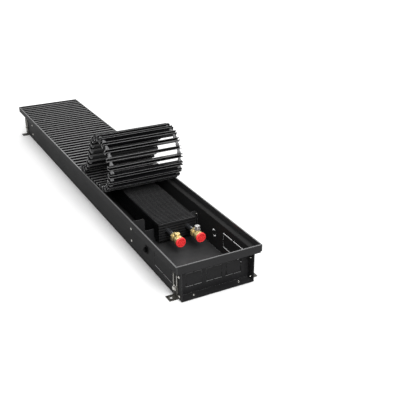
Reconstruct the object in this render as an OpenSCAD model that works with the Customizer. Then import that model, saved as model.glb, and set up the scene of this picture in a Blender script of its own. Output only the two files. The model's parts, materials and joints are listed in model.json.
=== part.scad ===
// Trench convector heater with its roll-up grille folded back from the valve end.
// X runs along the length, with the valve end at plus X. Y runs across. Z is up and the feet stand on zero.

/* [Casing] */
// Overall length, mm
casing_l = 1500; // [1200:10:2000]
// Overall width over the rim, mm
casing_w = 250; // [220:5:300]
// Height from the underside of the floor sheet to the rim, mm
casing_h = 110; // [100:1:140]
// Thickness of the casing sheet, mm
sheet = 1.2; // [1:0.1:2]
// Width of the grille ledge on each long side, mm
ledge_w = 18; // [15:1:24]
// Distance that the lower walls stop short of each end, mm
wall_short = 7; // [5:1:12]
// Setback of the end plates from the rim, mm
plate_set = 33; // [26:1:40]
// Height of the end bands, mm
band_h = 23; // [20:1:28]

/* [Roll-up grille] */
// Distance between slats, mm
pitch = 24.6; // [22:0.1:27]
// Width of a slat, mm
slat_w = 10; // [8:0.5:12]
// Height of a slat, mm
slat_h = 17; // [14:0.5:18]
// Wall of the slat's channel section, mm
slat_wall = 1.4; // [1.2:0.1:2]
// Slope of the first lifted slats, degrees
ramp_a = 4; // [3:0.5:6]
// Slope of the next lifted slats, degrees
ramp_b = 8; // [7:0.5:10]
// Links that bend evenly before the loop eases out
even_links = 12; // [11:1:13]
// Radius of the link sleeves, mm
sleeve_r = 4; // [3.2:0.1:5]
// Radius of the link cores that run through the slats, mm
core_r = 2.5; // [2:0.1:2.8]

/* [Heat exchanger] */
// Width of the fin block, mm
fin_w = 120; // [100:1:140]
// Height of the fin block, mm
fin_h = 57; // [44:1:62]
// Distance between fins, mm
fin_pitch = 8; // [6:0.5:12]
// Distance from the valve end of the rim to the fin block, mm
fin_start = 298; // [260:1:340]
// Distance from the far end of the rim to the fin block, mm
fin_end = 100; // [90:1:200]
// Gap between the fin block and the right wall, mm
fin_side_gap = 20; // [14:1:30]
// Gap between the fin block and the floor, mm
fin_floor_gap = 12; // [8:1:16]
// Outside radius of the water tubes, mm
tube_r = 7.5; // [6:0.1:8]
// Distance between the two water tubes, mm
tube_gap = 64; // [50:1:80]

/* [Valve connections] */
// Distance from the valve end of the rim to the cap faces, mm
cap_face = 210; // [180:1:230]
// Radius of the protective caps, mm
cap_r = 15; // [13:0.5:17]
// Radius of the valve bodies, mm
body_r = 14.2; // [12.6:0.2:14.8]

/* [Feet] */
// Distance from each end of the rim to the foot centres, mm
foot_in = 39.6; // [39.6:0.1:60]
// Width of a foot bracket, mm
foot_w = 26; // [22:1:28]
// Height of a foot bracket, mm
foot_h = 80; // [60:1:81]
// Thickness of a foot bracket, mm
foot_t = 2; // [1.5:0.1:3]
// Outward reach of the foot plates, mm
foot_out = 24; // [20:1:32]

/* [Output] */
// Sub-part to draw, or all

/* [Hidden] */
$fn = 48;
air = 0.3;
half_l = casing_l / 2;
half_w = casing_w / 2;
rim_z = casing_h + foot_t;
floor_z = foot_t;
floor_top = floor_z + sheet;
wall_y = half_w - ledge_w;
wall_in = wall_y - sheet;
wall_x = half_l - wall_short;

// the slats lie just under the rim and rest on the damping strips of the ledges
slat_top = rim_z - 1;
slat_low = slat_top - slat_h;
strip_t = 0.8;
ledge_top = slat_low - air - strip_t;
ledge_low = ledge_top - sheet;
slat_mid = slat_top - slat_h / 2;
trim_t = 1.5;
trim_w = 3.4;
lip_top = rim_z - trim_t - air;
slat_end_gap = 1.6;
slat_half = half_w - trim_w - slat_end_gap;
link_y = slat_half - 9.8;

// the end plates hang from the end bands
plate_x = half_l - plate_set;
band_low = rim_z - band_h;
band_half = half_w - trim_w - air;

// each link turns about a point just ahead of the slat behind it
hinge_ahead = sleeve_r + air;
slat_in_link = pitch - slat_w / 2 - hinge_ahead;
core_fit = 0.3;
core_short = 0.4;
knuckle_l = 2 * sleeve_r + 1;
knuckle_step = 0.3;
end_gap = 15;
slat_count = floor((casing_l - 2 * (trim_w + end_gap) - slat_w) / pitch) + 1;
first_slat_x = (slat_count - 1) * pitch / 2;
moving_count = 27;
fold_x = first_slat_x - moving_count * pitch + slat_w / 2 + hinge_ahead;
ramp_a_count = 4;
ramp_b_count = 3;
ramp_count = ramp_a_count + ramp_b_count;
loop_count = moving_count - ramp_count;
ease_count = loop_count - even_links;
tail_heading = 180;
// these links of the straight back slope move as one
stiff_links = [14, 15, 16];

// the exchanger stands towards the right wall, clear of the floor
fin_right = wall_in - fin_side_gap;
fin_left = fin_right - fin_w;
fin_y = fin_right - fin_w / 2;
fin_low = floor_top + fin_floor_gap;
fin_top = fin_low + fin_h;
fin_x0 = half_l - fin_start;
fin_x1 = -half_l + fin_end;
fin_t = 0.5;
fin_count = floor((fin_x0 - fin_x1 - 4) / fin_pitch) + 1;
fin_first = (fin_x0 + fin_x1) / 2 + (fin_count - 1) * fin_pitch / 2;
tube_z = fin_low + 0.6 * fin_h;
tube_fit = 0.06;
tube_wall = 1;
cover_t = 1.2;
cover_wave = 1.6;
tube_ys = [fin_y - tube_gap / 2, fin_y + tube_gap / 2];

// stations of the valve connections along X
cap_x = half_l - cap_face;
cap_depth = 6;
cap_wall = 1.6;
mouth_r = cap_r - 3.4;
neck_x = cap_x - cap_wall - air;
body_x0 = cap_x - 40;
nut_x0 = body_x0 - 5.5;
nut_l = 10;
tail_r = 9;
tube_x0 = body_x0 - 0.5;
tube_x1 = fin_x1 - 14;
port_x = cap_x - 25;
port_top = tube_z + body_r + 0.2;
port_r = 4.9;
shaft_fit = 0.05;

// holes and screws in the long walls
saddle_in = 34;
saddle_flange = 11;
saddle_front_x = fin_x0 - saddle_in;
saddle_rear_x = -fin_x1 - saddle_in;
saddle_screw_in = 5.5;
saddle_flange_h = 69;
saddle_screw_gap = 38;
saddle_screw_top = floor_top + saddle_flange_h - 7;
saddle_screw_zs = [saddle_screw_top - saddle_screw_gap, saddle_screw_top];
saddle_flange_top = floor_top + saddle_flange_h;
plug_in = 222;
plug_drop = 63;
plug_r = 11;
plug_x = half_l - plug_in;
plug_z = rim_z - plug_drop;
slit_w = 2.2;
side_panel = [104, 45];
side_panel_in = 118;
side_panel_drop = 62.5;
side_panel_x = half_l - side_panel_in;
side_panel_z = rim_z - side_panel_drop;
end_panel = [47, 40];
end_panel_y = 59;
end_panel_up = 42.3;
end_panel_z = floor_top + end_panel_up;
foot_x = half_l - foot_in;
foot_y = wall_y + 0.5;
anchor_y = 14;
anchor_r = 4.25;
bolt_z = 29;
bolt_r = 3;
slot_r = 4.3;
slot_low = bolt_z;
slot_high = foot_h - 12;
low_hole_r = 3.5;
low_hole_drop = 16;
end_screw_in = 19.5;
end_screw_up = 9;
end_screw_gap = 57;
end_screw_x = half_l - end_screw_in;
end_screw_zs = [floor_top + end_screw_up, floor_top + end_screw_up + end_screw_gap];
floor_screw_y = 67;
screw_r = 1.9;
screw_hole_r = 2.1;
screw_head_r = 3.6;

// Roll-up grille: headings of the links and the places of their pivots

function ease_drop(bend) =
    (ramp_b + bend * loop_count - tail_heading) / (ease_count * (ease_count + 1) / 2);

function raw_heading(k, bend) = k == 0
    ? ramp_b
    : raw_heading(k - 1, bend) + bend - max(0, k - even_links) * ease_drop(bend);

function loop_heading(k, bend) = k >= stiff_links[0] && k <= stiff_links[2]
    ? raw_heading(stiff_links[1], bend)
    : raw_heading(k, bend);

function heading(i, bend) = i <= ramp_a_count ? ramp_a
    : i <= ramp_count ? ramp_b
    : loop_heading(i - ramp_count, bend);

function rise(bend, i = 1) = i > moving_count
    ? 0
    : pitch * sin(heading(i, bend)) + rise(bend, i + 1);

// the folded end must lie on the flat slats, so the even bend is found by halving an interval
rise_wanted = slat_h + air + 0.1;
function find_bend(low, high, steps) = steps == 0
    ? (low + high) / 2
    : rise(((low + high) / 2)) > rise_wanted
        ? find_bend((low + high) / 2, high, steps - 1)
        : find_bend(low, (low + high) / 2, steps - 1);
even_bend = find_bend(13, 23, 20);

function pivot(i) = i == 1
    ? [fold_x, slat_mid]
    : pivot(i - 1) + pitch * [cos(heading(i - 1, even_bend)), sin(heading(i - 1, even_bend))];

// Shared shapes

module across(width) {
    // draws an outline of the XZ plane as a solid that is centred on Y
    rotate([90, 0, 0])
        linear_extrude(width, center = true)
            children();
}

module along(length) {
    // draws an outline of the YZ plane as a solid that is centred on X
    rotate([90, 0, 90])
        linear_extrude(length, center = true)
            children();
}

module both_sides() {
    children();
    mirror([0, 1, 0])
        children();
}

module both_ends() {
    children();
    mirror([1, 0, 0])
        children();
}

module box_outline(x0, x1, y0, y1) {
    translate([x0, y0])
        square([x1 - x0, y1 - y0]);
}

// outline of a knock-out panel that four small bridges hold in its sheet
module knock_out(size, gap = slit_w, bridge = 4) {
    difference() {
        square(size, center = true);
        square([size[0] - 2 * gap, size[1] - 2 * gap], center = true);
        square([bridge, size[1] + 1], center = true);
        square([size[0] + 1, bridge], center = true);
    }
}

// Casing and ends

module casing_section() {
    // folded tray: floor, lower walls, ledges and lips in one sheet
    difference() {
        union() {
            box_outline(-wall_y, wall_y, floor_z, ledge_top);
            box_outline(-half_w, half_w, ledge_low, lip_top);
        }
        box_outline(-wall_in, wall_in, floor_top, rim_z);
        box_outline(-half_w + sheet, half_w - sheet, ledge_top, rim_z);
    }
}

module casing() {
    inner_half = half_w - sheet;
    lip_past_ledge = 4.5;
    color([0.1, 0.1, 0.11])
        difference() {
            along(casing_l)
                casing_section();
            both_ends() {
                translate([wall_x, -half_w - 1, 0])
                    cube([wall_short + 1, casing_w + 2, ledge_low]);
                translate([half_l - lip_past_ledge, -inner_half, 0])
                    cube([lip_past_ledge + 1, 2 * inner_half, rim_z]);
            }
            both_sides()
                wall_holes();
            mirror([0, 1, 0])
                on_wall(plug_x, plug_z)
                    wall_bore(plug_r);
            on_wall(plug_x, plug_z)
                round_knock_out(plug_r);
            both_ends()
                floor_screws()
                    translate([0, 0, floor_z - 1])
                        cylinder(h = 3 * sheet, r = screw_hole_r);
        }
}

// places of the screws and bolts, with plus Z pointing out of the wall

module on_wall(x, z) {
    translate([x, wall_y, z])
        rotate([-90, 0, 0])
            children();
}

module saddle_screws() {
    for (z = saddle_screw_zs) {
        on_wall(saddle_front_x + saddle_screw_in, z)
            children();
        on_wall(-saddle_rear_x - saddle_screw_in, z)
            children();
    }
}

module end_plate_screws() {
    for (z = end_screw_zs)
        on_wall(end_screw_x, z)
            children();
}

module floor_screws() {
    for (y = [floor_screw_y, -floor_screw_y])
        translate([end_screw_x, y, 0])
            children();
}

module wall_bore(radius) {
    translate([0, 0, -2 * sheet])
        cylinder(h = 3 * sheet, r = radius);
}

// ring slit that two small bridges hold: it can be broken out for a cable
module round_knock_out(radius, bridge = 4) {
    translate([0, 0, -2 * sheet])
        linear_extrude(3 * sheet)
            difference() {
                circle(radius);
                circle(radius - slit_w);
                square([2 * radius + 1, bridge], center = true);
            }
}

module wall_holes() {
    saddle_screws()
        wall_bore(screw_hole_r);
    both_ends() {
        end_plate_screws()
            wall_bore(screw_hole_r);
        on_wall(foot_x, bolt_z)
            wall_bore(bolt_r + air);
    }
    // knock-out panel for pipes
    translate([side_panel_x, wall_y - sheet / 2, side_panel_z])
        across(3 * sheet)
            knock_out(side_panel);
}

module end_piece() {
    // folded sheet: band under the rim, shelf, set-back plate and three fixing flanges
    plate_half = wall_in - air;
    plate_low = floor_top + air;
    flange_l = wall_x - plate_x - 2 + sheet;
    flange_h = band_low - floor_top - 8;
    difference() {
        union() {
            translate([half_l - sheet / 2, 0, 0])
                along(sheet)
                    box_outline(-band_half, band_half, band_low, lip_top);
            translate([0, 0, band_low])
                linear_extrude(sheet) {
                    box_outline(plate_x - sheet, half_l, -plate_half, plate_half);
                    box_outline(wall_x + air, half_l, -band_half, band_half);
                }
            translate([plate_x - sheet / 2, 0, 0])
                along(sheet)
                    box_outline(-plate_half, plate_half, plate_low, band_low + sheet);
            translate([plate_x - sheet, -plate_half, plate_low])
                cube([flange_l, 2 * plate_half, sheet]);
            both_sides()
                translate([plate_x - sheet, plate_half - sheet, plate_low])
                    cube([flange_l, sheet, flange_h]);
        }
        for (y = [-end_panel_y, 0, end_panel_y])
            translate([plate_x - sheet / 2, y, end_panel_z])
                along(3 * sheet)
                    knock_out(end_panel);
        both_sides()
            end_plate_screws()
                translate([0, 0, -4 * sheet])
                    cylinder(h = 4 * sheet, r = screw_hole_r);
        floor_screws()
            translate([0, 0, floor_top - 1])
                cylinder(h = 3 * sheet, r = screw_hole_r);
    }
}

module front_end() {
    color([0.12, 0.12, 0.13])
        end_piece();
}

module rear_end() {
    color([0.12, 0.12, 0.13])
        mirror([1, 0, 0])
            end_piece();
}

module trim_outline(foot) {
    // edging strip: a cover over the sheet edge and a leg down its inner face
    leg = trim_w - sheet - air - 0.1;
    box_outline(-trim_w, 0, rim_z - trim_t, rim_z);
    box_outline(-trim_w, -trim_w + leg, foot, rim_z - trim_t);
}

module side_trim() {
    color([0.5, 0.5, 0.5])
        translate([0, half_w, 0])
            along(casing_l)
                trim_outline(ledge_top + air);
}

module trim_right() {
    side_trim();
}

module trim_left() {
    mirror([0, 1, 0])
        side_trim();
}

module end_trim() {
    color([0.5, 0.5, 0.5])
        translate([half_l, 0, 0])
            across(2 * (half_w - trim_w - air))
                trim_outline(band_low + sheet + air);
}

module trim_front() {
    end_trim();
}

module trim_rear() {
    mirror([1, 0, 0])
        end_trim();
}

module ledge_strips() {
    strip_in = wall_in + 1;
    strip_out = half_w - trim_w - 2.8;
    color([0.05, 0.05, 0.05])
        both_sides()
            translate([-half_l + 6, strip_in, ledge_top])
                cube([casing_l - 12, strip_out - strip_in, strip_t]);
}

module wall_plug() {
    // rubber plug in the cable hole: a flange on each side of the wall and a domed face outside
    inner = -sheet - air;
    color([0.03, 0.03, 0.03])
        mirror([0, 1, 0])
            on_wall(plug_x, plug_z)
                rotate_extrude()
                    polygon([[0, inner - 1.9], [plug_r + 0.2, inner - 1.9],
                        [plug_r + 0.6, inner - 1.5], [plug_r + 0.6, inner], [plug_r - air, inner],
                        [plug_r - air, air], [plug_r + 2, air], [plug_r + 1.2, 1.6],
                        [plug_r - 4, 2.2], [0, 2.2]]);
}

// screw with a pan head that stands on the origin, and its shank along minus Z
module pan_screw(shank) {
    rotate_extrude()
        polygon([[0, -shank], [screw_r, -shank], [screw_r, 0], [screw_head_r, 0],
            [screw_head_r, 1.2], [screw_head_r - 1, 2.2], [0, 2.5]]);
}

module wall_screws() {
    color([0.75, 0.75, 0.74])
        both_sides()
            saddle_screws()
                translate([0, 0, air])
                    pan_screw(7);
}

module end_screws() {
    color([0.75, 0.75, 0.74])
        both_ends() {
            both_sides()
                end_plate_screws()
                    translate([0, 0, air])
                        pan_screw(7);
            floor_screws()
                translate([0, 0, floor_top + sheet + 2 * air])
                    pan_screw(sheet + 2 * air + 1);
        }
}

// Heat exchanger

module saddle_outline() {
    // cross plate with a high left arm, a low stretch beside the fins and a right arm
    half = wall_in - air;
    low = floor_top + air;
    notch_top = low + 41.5;
    left_top = ledge_low - 7;
    arm_w = 42;
    cut = 4;
    polygon([[-half, low], [half, low], [half, saddle_flange_top - cut],
        [half - cut, saddle_flange_top], [fin_right + 1 + cut, saddle_flange_top],
        [fin_right + 1, saddle_flange_top - cut], [fin_right + 1, fin_low - air],
        [fin_left - 1, fin_low - air], [fin_left - 1, notch_top],
        [arm_w - half, notch_top], [arm_w - half, left_top - cut],
        [arm_w - half - cut, left_top], [-half, left_top]]);
}

module saddle(x) {
    // bracket across the casing that carries one end of the fin block on its seat
    seat_d = 16;
    low = floor_top + air;
    difference() {
        union() {
            translate([x - sheet / 2, 0, 0])
                along(sheet)
                    saddle_outline();
            translate([x - seat_d, fin_left + 4, fin_low - air - sheet])
                cube([seat_d, fin_w - 8, sheet]);
            both_sides()
                translate([x - sheet, wall_in - air - sheet, low + 12])
                    cube([saddle_flange + sheet, sheet, saddle_flange_top - 4 - low - 12]);
        }
        both_sides()
            for (z = saddle_screw_zs)
                on_wall(x + saddle_screw_in, z)
                    translate([0, 0, -4 * sheet])
                        cylinder(h = 4 * sheet, r = screw_hole_r);
    }
}

module saddle_front() {
    color([0.09, 0.09, 0.1])
        saddle(saddle_front_x);
}

module saddle_rear() {
    color([0.09, 0.09, 0.1])
        mirror([1, 0, 0])
            saddle(saddle_rear_x);
}

module fin_outline() {
    difference() {
        box_outline(fin_left, fin_right, fin_low, fin_top);
        for (y = tube_ys)
            translate([y, tube_z])
                circle(tube_r + tube_fit);
    }
}

module fins() {
    color([0.07, 0.07, 0.08])
        for (i = [0 : fin_count - 1])
            translate([fin_first - i * fin_pitch, 0, 0])
                along(fin_t)
                    fin_outline();
}

module cover() {
    // corrugated end sheet of the fin block
    waves = 7;
    step = fin_h / waves / 2;
    front = [for (i = [0 : 2 * waves]) [i % 2 * cover_wave, fin_low + i * step]];
    back = [for (i = [2 * waves : -1 : 0]) [i % 2 * cover_wave - cover_t, fin_low + i * step]];
    difference() {
        translate([0, fin_y, 0])
            across(fin_w)
                polygon(concat(front, back));
        for (y = tube_ys)
            translate([-5, y, tube_z])
                rotate([0, 90, 0])
                    cylinder(h = 10, r = tube_r + tube_fit);
    }
}

module cover_front() {
    color([0.1, 0.1, 0.11])
        translate([fin_first + fin_t / 2 + cover_t + air, 0, 0])
            cover();
}

module cover_rear() {
    color([0.1, 0.1, 0.11])
        translate([fin_first - (fin_count - 1) * fin_pitch - fin_t / 2 - cover_t - air, 0, 0])
            mirror([1, 0, 0])
                cover();
}

module water_tubes() {
    color([0.2, 0.17, 0.15])
        for (y = tube_ys)
            translate([tube_x1, y, tube_z])
                rotate([0, 90, 0])
                    difference() {
                        cylinder(h = tube_x0 - tube_x1, r = tube_r);
                        translate([0, 0, -1])
                            cylinder(h = tube_x0 - tube_x1 + 2, r = tube_r - tube_wall);
                    }
}

module bend_ring(radius) {
    rotate_extrude(angle = 180)
        translate([tube_gap / 2, 0])
            circle(radius);
}

module return_bend() {
    socket_l = 9;
    socket_r = tube_r + tube_fit + 0.9;
    color([0.45, 0.27, 0.17])
        translate([tube_x1 - air, fin_y, tube_z])
            difference() {
                union() {
                    rotate([0, 0, 90])
                        bend_ring(tube_r);
                    for (y = [-tube_gap / 2, tube_gap / 2])
                        translate([0, y, 0])
                            rotate([0, 90, 0])
                                cylinder(h = socket_l, r = socket_r);
                }
                rotate([0, 0, 90])
                    bend_ring(tube_r - tube_wall);
                for (y = [-tube_gap / 2, tube_gap / 2])
                    translate([air / 2, y, 0])
                        rotate([0, 90, 0])
                            cylinder(h = socket_l + 1, r = tube_r + tube_fit);
            }
}

// Valve connections, each built about the axis of its tube with plus Z along plus X

module on_tube(y, x) {
    translate([x, y, tube_z])
        rotate([0, 90, 0])
            children();
}

module union_nut(y) {
    corner_r = 14;
    on_tube(y, nut_x0)
        difference() {
            intersection() {
                cylinder(h = nut_l, r = corner_r, $fn = 6);
                rotate_extrude()
                    polygon([[0, 0], [corner_r - 1.6, 0], [corner_r, 1.4], [corner_r, nut_l - 1.4],
                        [corner_r - 1.6, nut_l], [0, nut_l]]);
            }
            translate([0, 0, -1])
                cylinder(h = nut_l + 2, r = tube_r + 0.1);
            translate([0, 0, body_x0 - nut_x0 - air])
                cylinder(h = nut_l, r = tail_r + air);
        }
}

module union_nuts() {
    color([0.75, 0.6, 0.3])
        for (y = tube_ys)
            union_nut(y);
}

module valve_body(y) {
    // turned body: a tail in the union nut, a waist with the port boss, a collar and a mouth
    tail_l = 4.8;
    waist_r = 10.5;
    waist_end = 19;
    barrel_end = cap_x - cap_depth - 2.5 - body_x0;
    mouth_end = neck_x - body_x0;
    boss_r = 8.2;
    difference() {
        union() {
            on_tube(y, body_x0)
                rotate_extrude()
                    polygon([[0, 0], [tail_r, 0], [tail_r, tail_l], [waist_r, tail_l],
                        [waist_r, waist_end], [body_r - 1, waist_end], [body_r, waist_end + 1.5],
                        [body_r, barrel_end], [body_r - 1.2, barrel_end + 1.5],
                        [mouth_r, barrel_end + 1.5], [mouth_r, mouth_end - 0.6],
                        [mouth_r - 0.6, mouth_end], [0, mouth_end]]);
            translate([port_x, y, tube_z])
                cylinder(h = port_top - tube_z, r = boss_r);
        }
        on_tube(y, neck_x - 12)
            cylinder(h = 20, r = 9.3);
        on_tube(y, body_x0 - 1)
            cylinder(h = 24, r = 5.5);
        translate([port_x, y, tube_z])
            cylinder(h = port_top - tube_z + 1, r = port_r);
    }
}

module valve_left() {
    color([0.85, 0.7, 0.4])
        valve_body(tube_ys[0]);
}

module valve_right() {
    color([0.85, 0.7, 0.4])
        valve_body(tube_ys[1]);
}

module pull_cap(y) {
    // protective cup over the mouth, with twelve grip grooves down its skirt
    skirt_r = mouth_r + air;
    inner = cap_depth - cap_wall;
    groove_r = 1.4;
    on_tube(y, cap_x - cap_depth)
        difference() {
            rotate_extrude()
                polygon([[skirt_r, 0], [cap_r - 1, 0], [cap_r, 1], [cap_r, inner],
                    [cap_r - 1.6, cap_depth], [0, cap_depth], [0, inner], [skirt_r, inner]]);
            for (i = [0 : 11])
                rotate([0, 0, i * 30])
                    translate([cap_r + groove_r / 2, 0, -1])
                        cylinder(h = inner, r = groove_r);
        }
}

module cap_left() {
    color([0.9, 0.08, 0.1])
        pull_cap(tube_ys[0]);
}

module cap_right() {
    color([0.9, 0.08, 0.1])
        pull_cap(tube_ys[1]);
}

module drain_plug() {
    // plug with a hexagon head, turned into the port of the left valve
    head_r = 8.6;
    head_h = 3.8;
    color([0.9, 0.78, 0.45])
        translate([port_x, tube_ys[0], port_top]) {
            translate([0, 0, -7])
                cylinder(h = 8, r = port_r - shaft_fit);
            translate([0, 0, air])
                intersection() {
                    cylinder(h = head_h, r = head_r, $fn = 6);
                    rotate_extrude()
                        polygon([[0, 0], [head_r - 0.8, 0], [head_r, 0.9], [head_r, head_h - 1],
                            [head_r - 1.2, head_h], [0, head_h]]);
                }
        }
}

// the bleed screw turns in the bore of the vent body
bleed_r = 2.6;
vent_h = 8.6;

module vent_body() {
    color([0.85, 0.85, 0.83])
        translate([port_x, tube_ys[1], port_top])
            difference() {
                union() {
                    translate([0, 0, -7])
                        cylinder(h = 8, r = port_r - shaft_fit);
                    translate([0, 0, air])
                        intersection() {
                            cylinder(h = 4, r = 8.6, $fn = 6);
                            cylinder(h = 4, r = 8.2);
                        }
                    translate([0, 0, 4])
                        cylinder(h = vent_h - 4, r = 6.2);
                }
                translate([0, 0, 3])
                    cylinder(h = vent_h, r = bleed_r);
            }
}

module vent_screw() {
    // bleed screw with a slotted round knob
    head_h = 4.4;
    knob_r = 8;
    color([0.9, 0.9, 0.88])
        translate([port_x, tube_ys[1], port_top])
            difference() {
                union() {
                    translate([0, 0, 4])
                        cylinder(h = vent_h - 3, r = bleed_r - shaft_fit);
                    translate([0, 0, vent_h + air])
                        rotate_extrude()
                            polygon([[0, 0], [knob_r - 0.6, 0], [knob_r, 0.6], [knob_r, head_h - 1.2],
                                [knob_r - 1.6, head_h], [0, head_h]]);
                }
                translate([0, 0, vent_h + air + head_h])
                    cube([2 * knob_r + 2, 1.2, 2.4], center = true);
            }
}

// Feet

module foot() {
    // bent bracket with a long slot for height setting and a hole in its foot plate
    bend_r = 3;
    corner = 4;
    difference() {
        translate([foot_x, 0, 0])
            along(foot_w) {
                box_outline(foot_y, foot_y + foot_t, bend_r, foot_h);
                box_outline(foot_y + bend_r, foot_y + foot_out, 0, foot_t);
                intersection() {
                    translate([foot_y + bend_r, bend_r])
                        difference() {
                            circle(bend_r);
                            circle(bend_r - foot_t);
                        }
                    box_outline(foot_y, foot_y + bend_r, 0, bend_r);
                }
            }
        translate([foot_x, foot_y - 1, 0])
            rotate([-90, 0, 0])
                linear_extrude(foot_t + 2)
                    foot_slot();
        translate([foot_x, foot_y - 1, slot_low - low_hole_drop])
            rotate([-90, 0, 0])
                cylinder(h = foot_t + 2, r = low_hole_r);
        translate([foot_x, foot_y + anchor_y, -1])
            cylinder(h = foot_t + 2, r = anchor_r);
        for (side = [-1, 1])
            translate([foot_x + side * foot_w / 2, foot_y + foot_t / 2, foot_h])
                rotate([0, 45, 0])
                    cube([corner, 2 * foot_t, corner], center = true);
    }
}

module foot_slot() {
    translate([0, -slot_low])
        circle(slot_r);
    translate([0, -slot_high])
        circle(slot_r);
    box_outline(-slot_r, slot_r, -slot_high, -slot_low);
}

module foot_at(x_side, y_side) {
    color([0.7, 0.68, 0.6])
        mirror([x_side < 0 ? 1 : 0, 0, 0])
            mirror([0, y_side < 0 ? 1 : 0, 0])
                foot();
}

module foot_front_left() {
    foot_at(1, -1);
}

module foot_front_right() {
    foot_at(1, 1);
}

module foot_rear_left() {
    foot_at(-1, -1);
}

module foot_rear_right() {
    foot_at(-1, 1);
}

// the bolts stay in the casing, and the slots of the feet run along them
bolt_seat = foot_y + foot_t + air - wall_y;
washer_t = 1.6;
nut_h = 5;
hexagon_r = 5.8;

module at_bolts() {
    both_ends()
        both_sides()
            on_wall(foot_x, bolt_z)
                children();
}

module foot_bolts() {
    shank = bolt_seat + sheet + nut_h + 3;
    head = bolt_seat + washer_t + air;
    head_h = 4;
    color([0.85, 0.85, 0.83])
        at_bolts() {
            translate([0, 0, bolt_seat - shank])
                cylinder(h = head - bolt_seat + shank + 1, r = bolt_r);
            translate([0, 0, head])
                intersection() {
                    cylinder(h = head_h, r = hexagon_r, $fn = 6);
                    rotate_extrude()
                        polygon([[0, 0], [hexagon_r, 0], [hexagon_r, head_h - 0.8],
                            [hexagon_r - 0.9, head_h], [0, head_h]]);
                }
        }
}

module foot_washers() {
    color([0.8, 0.8, 0.78])
        at_bolts()
            translate([0, 0, bolt_seat])
                difference() {
                    cylinder(h = washer_t, r = 8);
                    translate([0, 0, -1])
                        cylinder(h = washer_t + 2, r = bolt_r + 0.2);
                }
}

module foot_nuts() {
    color([0.8, 0.8, 0.78])
        at_bolts()
            translate([0, 0, -sheet - air - nut_h])
                difference() {
                    rotate([0, 0, 30])
                        cylinder(h = nut_h, r = hexagon_r, $fn = 6);
                    translate([0, 0, -1])
                        cylinder(h = nut_h + 2, r = bolt_r + 0.05);
                }
}

// Roll-up grille: a slat is an open channel, and its two links turn about the origin

module slat_section() {
    // channel, open below, with rounded upper corners
    round_r = 1.2;
    difference() {
        union() {
            box_outline(-slat_w / 2, slat_w / 2, -slat_h / 2, slat_h / 2 - round_r);
            box_outline(round_r - slat_w / 2, slat_w / 2 - round_r, 0, slat_h / 2);
            for (side = [-1, 1])
                translate([side * (slat_w / 2 - round_r), slat_h / 2 - round_r])
                    circle(round_r);
        }
        box_outline(slat_wall - slat_w / 2, slat_w / 2 - slat_wall, -slat_h, slat_h / 2 - slat_wall);
    }
}

module slat() {
    difference() {
        translate([slat_in_link, 0, 0])
            across(2 * slat_half)
                slat_section();
        both_sides()
            translate([slat_in_link - slat_w, link_y, 0])
                rotate([0, 90, 0])
                    cylinder(h = 2 * slat_w, r = core_r + core_fit);
    }
}

module links() {
    // round knuckle across the pivot, a sleeve, and a core through both walls of the slat
    sleeve_l = slat_in_link - slat_w / 2 - air;
    core_l = slat_in_link + slat_w / 2 - core_short;
    both_sides()
        translate([0, link_y, 0]) {
            rotate([90, 0, 0])
                cylinder(h = knuckle_l, r = sleeve_r, center = true);
            rotate([0, 90, 0]) {
                cylinder(h = sleeve_l, r = sleeve_r - knuckle_step);
                cylinder(h = core_l, r = core_r);
            }
        }
}

module flat_places(last) {
    for (i = [moving_count : last])
        translate([first_slat_x - i * pitch - slat_in_link, 0, slat_mid])
            children();
}

module flat_slats() {
    color([0.16, 0.16, 0.17])
        flat_places(slat_count - 1)
            slat();
}

module flat_links() {
    // the last slat has none, because nothing lies behind it
    color([0.45, 0.45, 0.46])
        flat_places(slat_count - 2)
            links();
}

module at_link(i) {
    place = pivot(i);
    translate([place[0], 0, place[1]])
        rotate([0, -heading(i, even_bend), 0])
            children();
}

module linked_slats(first, last) {
    color([0.16, 0.16, 0.17])
        for (i = [first : last])
            at_link(i) {
                slat();
                links();
            }
}

module ramp_low_slats() {
    linked_slats(1, ramp_a_count);
}

module ramp_high_slats() {
    linked_slats(ramp_a_count + 1, ramp_count);
}

module loop_slat(k, last = 0) {
    linked_slats(ramp_count + k, ramp_count + max(k, last));
}

module slat_1() { loop_slat(1); }
module slat_2() { loop_slat(2); }
module slat_3() { loop_slat(3); }
module slat_4() { loop_slat(4); }
module slat_5() { loop_slat(5); }
module slat_6() { loop_slat(6); }
module slat_7() { loop_slat(7); }
module slat_8() { loop_slat(8); }
module slat_9() { loop_slat(9); }
module slat_10() { loop_slat(10); }
module slat_11() { loop_slat(11); }
module slat_12() { loop_slat(12); }
module slat_13() { loop_slat(13); }
module slat_14() { loop_slat(stiff_links[0], stiff_links[2]); }
module slat_17() { loop_slat(17); }
module slat_18() { loop_slat(18); }
module slat_19() { loop_slat(19); }
module slat_20() { loop_slat(20); }

casing();
front_end();
rear_end();
trim_left();
trim_right();
trim_front();
trim_rear();
ledge_strips();
wall_plug();
wall_screws();
end_screws();
saddle_front();
saddle_rear();
fins();
cover_front();
cover_rear();
water_tubes();
return_bend();
union_nuts();
valve_left();
valve_right();
cap_left();
cap_right();
drain_plug();
vent_body();
vent_screw();
foot_front_left();
foot_front_right();
foot_rear_left();
foot_rear_right();
foot_bolts();
foot_washers();
foot_nuts();
flat_slats();
flat_links();
ramp_low_slats();
ramp_high_slats();
slat_1();
slat_2();
slat_3();
slat_4();
slat_5();
slat_6();
slat_7();
slat_8();
slat_9();
slat_10();
slat_11();
slat_12();
slat_13();
slat_14();
slat_17();
slat_18();
slat_19();
slat_20();
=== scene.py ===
"""Looks of the trench convector heater: materials, small pieces, light and camera."""
import json
import math
from collections import namedtuple

import bmesh
import bpy
from mathutils import Matrix, Vector


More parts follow.
